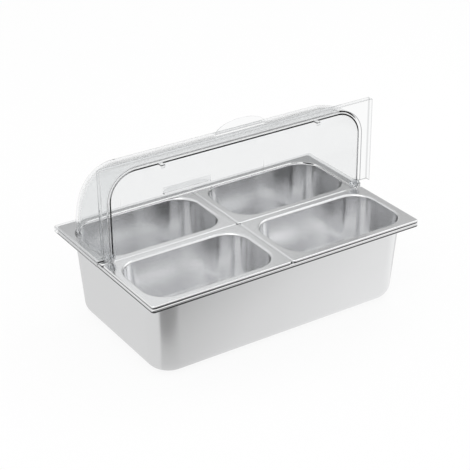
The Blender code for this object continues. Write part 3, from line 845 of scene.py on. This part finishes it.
def makeCover(name, node, half, trim, toFrame, sheetPlastic, rimPlastic, foldPlastic):
    # A cover half: swept sheet with its flange and lip, united with ears, tab and small trim
    points, finishes = coverBody(half)
    sheetBody = loopBody(toFrame(points))
    # The turned-edge, rim and fillet slots hold darker tints, painted shade for the edge lines
    piece = makePiece(name, sheetBody, [sheetPlastic, turnedEdgeShadePlastic, rimPlastic, foldPlastic])
    setFinishes(piece, finishes, 1)
    extras = [earBody(half, 1.0), earBody(half, -1.0), tabBody()] + trim
    placed = joinBodies([(toFrame(bodyVerts), bodyFaces) for bodyVerts, bodyFaces in extras])
    unitePiece(piece, placed, 30.0)
    evenNormals(piece)
    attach(piece, node)
    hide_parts(node)


makeCover("coverRearShell", "cover_rear", rearHalf, rearTrim(), toRear,
          rearPlastic, rimShadePlastic, rearPlastic)
makeCover("coverFrontShell", "cover_front", frontHalf, frontTrim(), toFront,
          frontPlastic, frontPlastic, foldShadePlastic)
print("cover made")


# Pins, caps and washers in millimetres: places along the axis, radii and soft corners
pivot = {
    "pinX": (243.6, 253.7, 256.1), "pinRadius": 3.0, "tipSoft": 0.5,
    "headRadius": 6.5, "headSoft": 1.1,
    "capX": (241.5, 246.3), "capRadius": 6.2, "capSoft": 1.0, "boreEnd": 243.1, "boreCore": 1.5,
    "washerX": (249.7, 250.3), "washerRadius": 8.0, "washerSoft": 0.15,
    "bore": 3.3, "seatSoft": 0.3, "endCore": 2.0, "cornerSteps": 5,
}


def roundedEnd(x, radius, soft, direction):
    # The soft outer corner of a turned end: a quarter circle from the side to the end face
    turn = arc(0.0, quarterTurn, pivot["cornerSteps"])
    return x - direction * soft * (1 - np.sin(turn)), radius - soft * (1 - np.cos(turn))


def toMetres(x, r):
    # A profile in millimetres as arrays in metres
    return np.array(x) * mm, np.array(r) * mm


def pinBody(side):
    # A pin whose head is a low dome: shank from its tip to the seat, then the head's soft rim
    tip, seat, end = pivot["pinX"]
    shank, head, soft = pivot["pinRadius"], pivot["headRadius"], pivot["seatSoft"]
    headX, headR = roundedEnd(end, head, pivot["headSoft"], 1.0)
    tipX, tipR = roundedEnd(tip, shank, pivot["tipSoft"], -1.0)
    x = np.concatenate([tipX[::-1], [seat, seat, seat + soft], headX, [end]])
    r = np.concatenate([tipR[::-1], [shank, head - soft, head], headR, [pivot["endCore"]]])
    x, r = toMetres(x, r)
    return shellBody(turnedLoop(side * x, r))


def capBody(side):
    # A blind cap on the pin's inner end: its bore, seat, soft rim and closed end
    end, seat = pivot["capX"]
    deep, radius, soft = pivot["boreEnd"], pivot["capRadius"], pivot["seatSoft"]
    rimX, rimR = roundedEnd(end, radius, pivot["capSoft"], -1.0)
    boreR = [pivot["boreCore"], pivot["bore"], pivot["bore"]]
    x = np.concatenate([[deep, deep, seat, seat, seat - soft], rimX, [end]])
    r = np.concatenate([boreR, [radius - soft, radius], rimR, [pivot["endCore"]]])
    x, r = toMetres(x, r)
    return shellBody(turnedLoop(side * x, r))


def washerBody(side):
    # A thin washer with soft edges between the two halves' end walls
    low, high = pivot["washerX"]
    soft, bore, radius = pivot["washerSoft"], pivot["bore"], pivot["washerRadius"]
    x = [low + soft, low, low, low + soft, high - soft, high, high, high - soft]
    r = [bore, bore + soft, radius - soft, radius, radius, radius - soft, bore + soft, bore]
    x, r = toMetres(x, r)
    return ringBody(side * x, r)


for hand, side in (("left", -1.0), ("right", 1.0)):
    for part, shape in (("pin", pinBody), ("cap", capBody), ("washer", washerBody)):
        verts, faces = shape(side)
        piece = makePiece(f"pivot_{part}_{hand}_turned", (toRear(verts), faces), [pivotPlastic])
        evenNormals(piece)
        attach(piece, "cover_rear")
        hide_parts(f"pivot_{part}_{hand}")
print("pivots made")


# The studio: floor, flags with their levels along one direction, lamps (place, power, size) and
# the depth of the light paths
studio = {
    "floorColour": 0.88, "floorGlow": 0.86, "floorSize": 12.0, "floorLevel": -0.2 * mm,
    "tableHalf": 1.6, "tableLevel": -0.1 * mm, "tableAcross": (-0.562, -0.827, 0.0),
    "tableStops": ((-0.10, 1.0), (0.05, 0.88), (0.12, 0.82), (0.18, 0.77), (0.27, 0.61),
                   (0.31, 0.53), (0.35, 0.33), (0.48, 0.22)),
    "tableSide": ((-0.2107, -0.1082, 0.0), (-37.0, -27.0), 0.76),
    "backY": 0.55, "backX": (-1.2, 1.6), "backAcross": (-1.0, 0.0, 0.0),
    "lowZ": (0.25, 0.46), "lowStops": ((-0.75, 0.54), (-0.30, 0.60), (0.3, 0.66)),
    "backZ": (0.46, 1.6),
    "backStops": ((-0.75, 0.54), (-0.60, 0.56), (-0.45, 0.76), (-0.32, 0.90), (-0.2, 1.0),
                  (0.0, 1.0)),
    "keyLamp": ((-0.9, -0.9, 1.5), 5.0, (1.6, 1.2)), "fillLamp": ((1.0, 0.4, 1.3), 2.5, (0.9, 0.9)),
    "lampTarget": (0.0, 0.0, 0.15), "pathSteps": 28,
}

# The camera fitted to the photograph: angles in degrees, lens and sensor in millimetres
photoView = {
    "target": (-28.112 * mm, -32.448 * mm, 155.0 * mm), "distance": 2382.4 * mm,
    "azimuth": -33.023, "elevation": 27.776, "roll": -0.406, "lens": 108.15, "sensor": 36.0,
}


def lightPathMask(nodes, links):
    # 1 for camera, glossy and transmission rays, 0 for the rest: the largest of three ray flags
    rays = nodes.new("ShaderNodeLightPath").outputs
    seen = mathNode(nodes, links, "MAXIMUM", rays["Is Camera Ray"], rays["Is Glossy Ray"])
    return mathNode(nodes, links, "MAXIMUM", seen, rays["Is Transmission Ray"])


def flatQuad(name, corners, material):
    # One flat four-sided face as an object
    mesh = bpy.data.meshes.new(name)
    mesh.from_pydata(corners, [], [[0, 1, 2, 3]])
    mesh.materials.append(material)
    return linkObject(name, mesh)


def levelSquare(half, z):
    # Corners of a level square about the origin
    return [[-half, -half, z], [half, -half, z], [half, half, z], [-half, half, z]]


def makeFloor():
    # A pale floor that nearly glows white for seeing rays and still takes a faint shadow
    material, nodes, links = newMaterial("floorPale")
    nodes.remove(nodes["Principled BSDF"])
    matt = nodes.new("ShaderNodeBsdfDiffuse")
    matt.inputs["Color"].default_value = (studio["floorColour"],) * 3 + (1.0,)
    glow = nodes.new("ShaderNodeEmission")
    share = mathNode(nodes, links, "MULTIPLY", lightPathMask(nodes, links), studio["floorGlow"])
    mix = nodes.new("ShaderNodeMixShader")
    links.new(share, mix.inputs[0])
    links.new(matt.outputs[0], mix.inputs[1])
    links.new(glow.outputs[0], mix.inputs[2])
    links.new(mix.outputs[0], nodes["Material Output"].inputs["Surface"])
    floor = flatQuad("floor", levelSquare(studio["floorSize"] / 2, studio["floorLevel"]), material)


def makeWorld():
    # An even white world of level 1
    world = bpy.data.worlds.new("studioWorld")
    bpy.context.scene.world = world
    world.use_nodes = True
    back = world.node_tree.nodes["Background"]
    back.inputs["Color"].default_value = (1.0, 1.0, 1.0, 1.0)
    back.inputs["Strength"].default_value = 1.0


def sideBlend(nodes, links, place, level, side):
    # Left of a line from a centre the level turns into a plain one: the azimuth about the centre,
    # the arc tangent of y over -x, goes through a smooth step
    centre, azimuths, plain = side
    shift = nodes.new("ShaderNodeVectorMath")
    shift.operation = "SUBTRACT"
    shift.inputs[1].default_value = centre
    links.new(place, shift.inputs[0])
    parts = nodes.new("ShaderNodeSeparateXYZ")
    links.new(shift.outputs["Vector"], parts.inputs["Vector"])
    mirrored = mathNode(nodes, links, "MULTIPLY", parts.outputs["X"], -1.0)
    angle = mathNode(nodes, links, "ARCTAN2", parts.outputs["Y"], mirrored)
    part = rangeNode(nodes, links, angle, np.radians(azimuths), interpolation="SMOOTHSTEP")
    return mixNode(nodes, links, "RGBA", part, level, (plain, plain, plain, 1.0))


def flagMaterial(name, across, stops, side=None):
    # A glowing flag whose level runs along one direction: the dot product with the object
    # coordinates goes through a ramp of (distance, level) pairs, and a side is blended in.
    # Rays that no gloss has turned find it plain white.
    material, nodes, links = newMaterial(name)
    nodes.remove(nodes["Principled BSDF"])
    place = nodes.new("ShaderNodeTexCoord").outputs["Object"]
    dot = nodes.new("ShaderNodeVectorMath")
    dot.operation = "DOT_PRODUCT"
    dot.inputs[1].default_value = across
    links.new(place, dot.inputs[0])
    start, end = stops[0][0], stops[-1][0]
    along = rangeNode(nodes, links, dot.outputs["Value"], (start, end))
    ramp = nodes.new("ShaderNodeValToRGB")
    keys = ramp.color_ramp.elements
    for index, (distance, level) in enumerate(stops):
        share = (distance - start) / (end - start)
        ends = {0: keys[0], len(stops) - 1: keys[-1]}
        key = ends[index] if index in ends else keys.new(share)
        key.position = share
        key.color = (level, level, level, 1.0)
    links.new(along, ramp.inputs["Fac"])
    level = ramp.outputs["Color"]
    if side:
        level = sideBlend(nodes, links, place, level, side)
    glossDepth = nodes.new("ShaderNodeLightPath").outputs["Glossy Depth"]
    glow = nodes.new("ShaderNodeEmission")
    turned = mixNode(nodes, links, "RGBA", glossDepth, (1.0, 1.0, 1.0, 1.0), level)
    links.new(turned, glow.inputs["Color"])
    links.new(glow.outputs[0], nodes["Material Output"].inputs["Surface"])
    return material


def makeFlag(name, corners, material, seenThrough):
    # A flat flag that only reflections see, and rays through the plastic if it is seen through
    flag = flatQuad(name, corners, material)
    flag.visible_camera = False
    flag.visible_diffuse = False
    flag.visible_shadow = False
    flag.visible_transmission = seenThrough


def makeBackFlag(kind):
    # An upright flag behind the object, between two heights
    left, right = studio["backX"]
    low, high = studio[kind + "Z"]
    y = studio["backY"]
    corners = [[left, y, low], [right, y, low], [right, y, high], [left, y, high]]
    material = flagMaterial(kind + "FlagLevel", studio["backAcross"], studio[kind + "Stops"])
    makeFlag(kind + "Flag", corners, material, True)


def aimedMatrix(right, up, back, place):
    # The turn and place of something that looks along -back
    turn = np.eye(4)
    turn[:3, 0], turn[:3, 1], turn[:3, 2], turn[:3, 3] = right, up, back, place
    return Matrix(turn.tolist())


def makeLamp(name):
    # A rectangular lamp that looks from its place at the lamps' target
    place, power, size = studio[name]
    lamp = bpy.data.lights.new(name, "AREA")
    lamp.energy = power
    lamp.shape = "RECTANGLE"
    lamp.size, lamp.size_y = size
    back = np.array(place) - np.array(studio["lampTarget"])
    back /= np.linalg.norm(back)
    right = np.cross([0.0, 1.0, 0.0], back)
    right /= np.linalg.norm(right)
    linkObject(name, lamp).matrix_world = aimedMatrix(right, np.cross(back, right), back, place)


def makeCamera(view):
    # The camera looks at the target from a distance, turned by azimuth, elevation and roll
    azimuth, elevation, roll = np.radians([view["azimuth"], view["elevation"], view["roll"]])
    back = np.array([np.sin(azimuth) * np.cos(elevation), -np.cos(azimuth) * np.cos(elevation),
                     np.sin(elevation)])
    right = np.cross([0.0, 0.0, 1.0], back)
    right /= np.linalg.norm(right)
    up = np.cross(back, right)
    rolledRight = right * np.cos(roll) + up * np.sin(roll)
    rolledUp = -right * np.sin(roll) + up * np.cos(roll)
    place = np.array(view["target"]) + back * view["distance"]
    data = bpy.data.cameras.new("photoCamera")
    data.sensor_width = view["sensor"]
    data.lens = view["lens"]
    camera = linkObject("photoCamera", data)
    camera.matrix_world = aimedMatrix(rolledRight, rolledUp, back, place)
    bpy.context.scene.camera = camera


makeFloor()
makeWorld()
tableLook = flagMaterial("tableFlagLevel", studio["tableAcross"], studio["tableStops"],
                         studio["tableSide"])
makeFlag("tableFlag", levelSquare(studio["tableHalf"], studio["tableLevel"]), tableLook, False)
makeBackFlag("low")
makeBackFlag("back")
makeLamp("keyLamp")
makeLamp("fillLamp")
makeCamera(photoView)
bpy.context.scene.view_settings.view_transform = "Standard"
# A view ray crosses up to 14 clear faces, so the light paths are longer than Blender's default
bpy.context.scene.cycles.max_bounces = studio["pathSteps"]
bpy.context.scene.cycles.transmission_bounces = studio["pathSteps"]
print("studio made")
